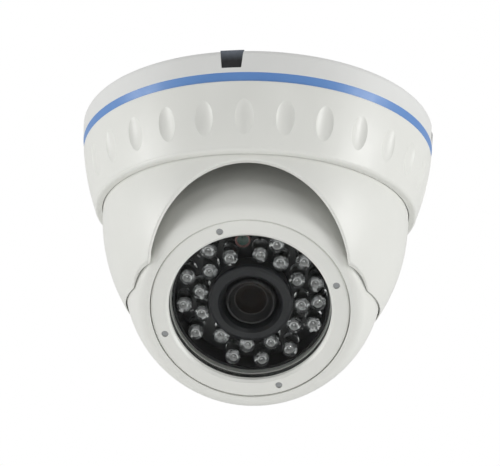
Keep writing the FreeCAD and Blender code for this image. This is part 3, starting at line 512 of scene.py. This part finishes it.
def make_light_sensor():
    """A low round head: a dark red rim, then fine steps round a green dish."""
    bm = bmesh.new()
    place = on_board(SENSOR_SPOT)
    top = SENSOR_HEIGHT
    rim = [(SENSOR_R - 0.15, 0.02), (SENSOR_R, 0.2), (SENSOR_R, top - 0.3),
           (SENSOR_R - 0.15, top - 0.05), (SENSOR_R - 0.4, top), (SENSOR_R - 0.62, top - 0.06),
           (DISH_EDGE_R, top - 0.3)]
    lathe(bm, rim, place, 48)
    dish = [(DISH_EDGE_R, top - 0.3)]
    radius = SENSOR_R - 0.72
    while radius > 0.35:
        dish += [(radius, DISH_HIGH), (radius - 0.10, DISH_HIGH), (radius - 0.13, DISH_LOW),
                 (radius - 0.20, DISH_LOW)]
        radius -= DISH_STEP
    dish += [(radius - 0.02, top - 0.30), (0, top - 0.24)]
    lathe(bm, dish, place, 48, paint=1)
    lathe(bm, [(SENSOR_R - 0.15, 0.02), (0, 0.02)], place, 48)
    bmesh.ops.remove_doubles(bm, verts=bm.verts, dist=1e-6)
    piece = finish_piece("light_sensor_head", bm, [PAINTS["sensor_head"], SENSOR_DISH])
    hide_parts("light_sensor")


make_light_sensor()

# ---------------------------------------------------------------- small parts on the lamp board


WIDE_GAP = 8.0
CHIP_BLOCK = (1.0, 0.78, 0.42)
CHIP_END_BLOCK = (0.34, 0.82, 0.45)
CHIP_END_X = 0.66


def make_board_chips():
    """Surface mounted resistors in the wider gaps between the outer lamps, with tinned ends."""
    bm = bmesh.new()
    spots = sorted(stands_at("outer_leds"), key=lambda spot: math.atan2(spot.y, spot.x))
    for spot, after in zip(spots, spots[1:]):
        if (after - spot).length < WIDE_GAP:
            continue
        middle = (spot + after) / 2
        spin = math.degrees(math.atan2(middle.y, middle.x)) + 90
        place = inside(on_board(middle, spin), RANDOM.uniform(-0.4, 0.4), 0, 0.01)
        block(bm, place, CHIP_BLOCK)
        for x in (-CHIP_END_X, CHIP_END_X):
            block(bm, inside(place, x, 0, 0), CHIP_END_BLOCK, paint=1, bevel=0.07)
    finish_piece("lamp_board_resistors", bm, [CHIP_BODY, CHIP_END])


make_board_chips()

# ---------------------------------------------------------------- floor, light, camera

FLOOR_Z = -1.0
FLOOR_RADIUS = 30.0

# Where the tent round the camera is open and dark, and how bright it is. The cosines are to that way.
TENT_OPENING = (0.05, -0.98, -0.2)
TENT_LIGHT = 0.62
TENT_DARK = 0.0
DIMS_FROM, DARK_FROM = 0.2, 0.9

# Area lamps: place in m, power in W, width and height in m
AREA_LAMPS = {
    "left_softbox": ((-1.25, -0.4, -0.25), 7.0, 0.5, 0.7),
    "right_softbox": ((1.25, -0.4, -0.15), 8.0, 0.5, 0.7),
    "top_softbox": ((0.0, -0.9, 0.9), 0.4, 0.5, 0.3),
    "spark_left": ((-0.38, -0.85, 0.25), 0.5, 0.04, 0.06),
    "spark_right": ((0.30, -0.95, 0.1), 0.5, 0.04, 0.06),
}

# The view: degrees below the ball, to one side and of roll, with a distance in m and sizes in pixels
CLIMB, SIDEWAYS, ROLL = (math.radians(degrees) for degrees in (20.56, 3.2, 1.74))
DISTANCE = 0.5
FOCAL_PIXELS = 1720.0
IMAGE_WIDTH = 500.0
OFF_RIGHT, OFF_UP = 3.7, 43.2
SENSOR_WIDTH = 36.0


def make_floor():
    """A wide pale disc a metre below the ceiling."""
    bm = bmesh.new()
    bmesh.ops.create_circle(bm, cap_ends=True, segments=64, radius=FLOOR_RADIUS)
    mesh = bpy.data.meshes.new("floor")
    bm.to_mesh(mesh)
    bm.free()
    floor = bpy.data.objects.new("floor", mesh)
    floor.location.z = FLOOR_Z
    bpy.context.scene.collection.objects.link(floor)
    t = Tree("floor_paint")
    tone = t.blend(t.ramp(t.noise(0.8, 3.0), 0.0, 1.0), (0.86, 0.86, 0.86, 1), (0.89, 0.89, 0.885, 1))
    shader = t.add("ShaderNodeBsdfPrincipled", Base_Color=tone, Roughness=0.8)
    mesh.materials.append(t.finish(shader))


def make_sky():
    """A soft even room light, on a plain white backdrop."""
    world = bpy.data.worlds.new("studio")
    bpy.context.scene.world = world
    world.use_nodes = True
    tree = world.node_tree
    tree.nodes.clear()
    add = tree.nodes.new
    link = tree.links.new
    place = add("ShaderNodeTexCoord")
    facing = add("ShaderNodeVectorMath")
    facing.operation = "DOT_PRODUCT"
    facing.inputs[1].default_value = TENT_OPENING
    link(place.outputs["Generated"], facing.inputs[0])
    level = add("ShaderNodeMapRange")
    level.interpolation_type = "SMOOTHSTEP"
    link(facing.outputs["Value"], level.inputs[0])
    for socket, value in zip(level.inputs[1:5], (DIMS_FROM, DARK_FROM, TENT_LIGHT, TENT_DARK)):
        socket.default_value = value
    light = add("ShaderNodeBackground")
    light.inputs["Color"].default_value = (1.0, 1.0, 0.995, 1)
    link(level.outputs[0], light.inputs["Strength"])
    white = add("ShaderNodeBackground")
    white.inputs["Color"].default_value = (1, 1, 1, 1)
    rays = add("ShaderNodeLightPath")
    mixed = add("ShaderNodeMixShader")
    link(rays.outputs["Is Camera Ray"], mixed.inputs[0])
    link(light.outputs[0], mixed.inputs[1])
    link(white.outputs[0], mixed.inputs[2])
    out = add("ShaderNodeOutputWorld")
    link(mixed.outputs[0], out.inputs[0])


def area_lamp(name, spot, power, width, height):
    """An area lamp that faces the ball."""
    light = bpy.data.lights.new(name, "AREA")
    light.shape = "RECTANGLE"
    light.size = width
    light.size_y = height
    light.energy = power
    holder = bpy.data.objects.new(name, light)
    holder.location = spot
    holder.rotation_mode = "QUATERNION"
    holder.rotation_quaternion = (BALL - Vector(spot)).to_track_quat("-Z", "Y")
    bpy.context.scene.collection.objects.link(holder)


def make_camera():
    """The camera, a little below the ball and to one side, looking up at it."""
    sight = Vector((-math.sin(SIDEWAYS) * math.cos(CLIMB), math.cos(SIDEWAYS) * math.cos(CLIMB),
                    math.sin(CLIMB)))
    right = Vector((math.cos(SIDEWAYS), math.sin(SIDEWAYS), 0))
    up = right.cross(sight)
    right, up = (right * math.cos(ROLL) + up * math.sin(ROLL),
                 up * math.cos(ROLL) - right * math.sin(ROLL))
    spot = BALL - sight * DISTANCE
    ahead = (sight * FOCAL_PIXELS - right * OFF_RIGHT + up * OFF_UP).normalized()
    right = (right - ahead * right.dot(ahead)).normalized()
    up = right.cross(ahead)
    data = bpy.data.cameras.new("camera")
    data.sensor_width = SENSOR_WIDTH
    data.lens = FOCAL_PIXELS * SENSOR_WIDTH / IMAGE_WIDTH
    data.clip_start = 0.01
    data.clip_end = 100.0
    camera = bpy.data.objects.new("camera", data)
    turn = Matrix((right, up, -ahead)).transposed().to_4x4()
    camera.matrix_world = Matrix.Translation(spot) @ turn
    bpy.context.scene.collection.objects.link(camera)
    bpy.context.scene.camera = camera


make_floor()
make_sky()
for lamp_name, lamp_facts in AREA_LAMPS.items():
    area_lamp(lamp_name, *lamp_facts)
make_camera()
bpy.context.scene.view_settings.view_transform = "Standard"
